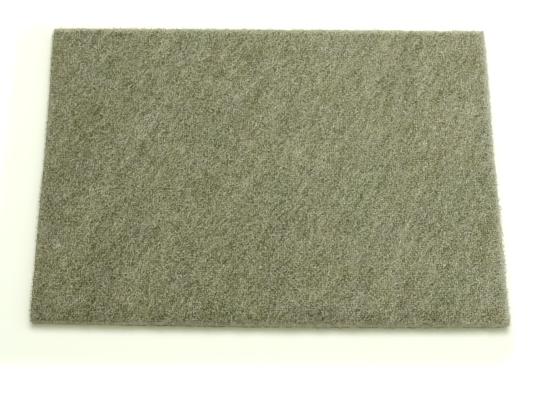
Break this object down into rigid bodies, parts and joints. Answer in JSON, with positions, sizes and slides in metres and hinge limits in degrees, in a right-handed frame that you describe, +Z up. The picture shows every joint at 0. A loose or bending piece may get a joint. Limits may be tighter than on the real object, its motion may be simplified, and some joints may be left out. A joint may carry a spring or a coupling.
{
  "type": "abrasive fleece pad",
  "caption": "Rectangular hand pad of olive-grey abrasive fleece: a lofty web of tangled, grit-coated strands with ragged die-cut edges and a flat back, for scuffing and cleaning by hand.",
  "frame": {"origin": "middle of the flat back, on the bench that the pad lies on", "axes": "+X along the pad's length, +Y across its width, +Z up through its thickness"},
  "size_m": [0.2238, 0.1578, 0.0069],
  "materials": {
    "fleece": "matte"
  },
  "bodies": {
    "root": {"fleece_pad": "fleece"}
  },
  "joints": []
}
